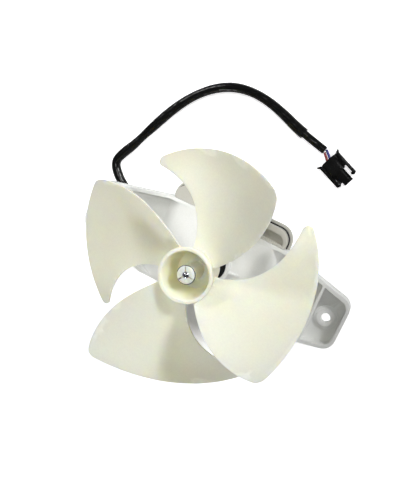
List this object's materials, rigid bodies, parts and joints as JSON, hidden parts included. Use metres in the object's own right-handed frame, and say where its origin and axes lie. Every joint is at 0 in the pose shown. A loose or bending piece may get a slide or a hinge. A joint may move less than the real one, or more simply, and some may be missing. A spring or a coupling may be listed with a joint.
{
  "type": "fan assembly",
  "caption": "Small axial fan: ivory impeller with swept blades on a flat motor in a white two-footed bracket, with a sleeved lead and latching connector.",
  "frame": {"origin": "on the shaft axis, in the plane of the rear cover's flat back that the fan rests on", "axes": "+Z along the shaft towards the open side of the hub, X from screw foot to screw foot, Y across the bracket towards the side bay"},
  "size_m": [0.1945, 0.19, 0.0923],
  "materials": {
    "white_moulding": "fine moulded satin",
    "grey_moulding": "fine moulded satin",
    "black_rubber": "matt rubber",
    "zinc_steel": "zinc plated",
    "black_plastic": "fine moulded",
    "bearing_steel": "ground",
    "core_steel": "stamped sheets",
    "copper_wire": "enamelled wire",
    "board_green": "lacquered",
    "can_aluminium": "drawn",
    "terminal_plastic": "moulded",
    "shaft_steel": "ground and polished",
    "magnet_grey": "bonded magnet",
    "spring_steel": "drawn wire",
    "ivory_plastic": "smooth satin",
    "black_sleeve": "shiny sleeving",
    "red_insulation": "extruded",
    "blue_insulation": "extruded",
    "connector_black": "fine moulded",
    "contact_tin": "tin plated"
  },
  "bodies": {
    "bracket": {"mounting_bracket": "white_moulding", "motor_housing": "grey_moulding", "housing_seal": "black_rubber", "rear_cover": "grey_moulding", "cover_screws": "zinc_steel", "bracket_screws": "zinc_steel", "bearing_cap": "black_plastic", "front_bearing": "bearing_steel", "rear_bearing": "bearing_steel", "stator_core": "core_steel", "coil_bobbins": "black_plastic", "stator_coils": "copper_wire", "circuit_board": "board_green", "driver_chip": "black_plastic", "position_sensor": "black_plastic", "filter_capacitor": "can_aluminium", "lead_terminal": "terminal_plastic", "cable_gland": "black_rubber", "cable_sleeve": "black_sleeve", "end_sleeve": "black_sleeve", "red_wire": "red_insulation", "blue_wire": "blue_insulation", "connector_housing": "connector_black", "connector_contacts": "contact_tin"},
    "rotor": {"impeller": "ivory_plastic", "spring_clip": "spring_steel", "motor_shaft": "shaft_steel", "rotor_magnet": "magnet_grey", "rotor_core": "core_steel", "front_spacer": "terminal_plastic", "rear_spacer": "terminal_plastic", "retaining_ring": "spring_steel"}
  },
  "joints": [
    {"name": "rotor_spin", "type": "hinge", "parent": "bracket", "child": "rotor", "pos_m": [0, 0, 0.04], "axis": [0, 0, 1], "continuous": true}
  ]
}
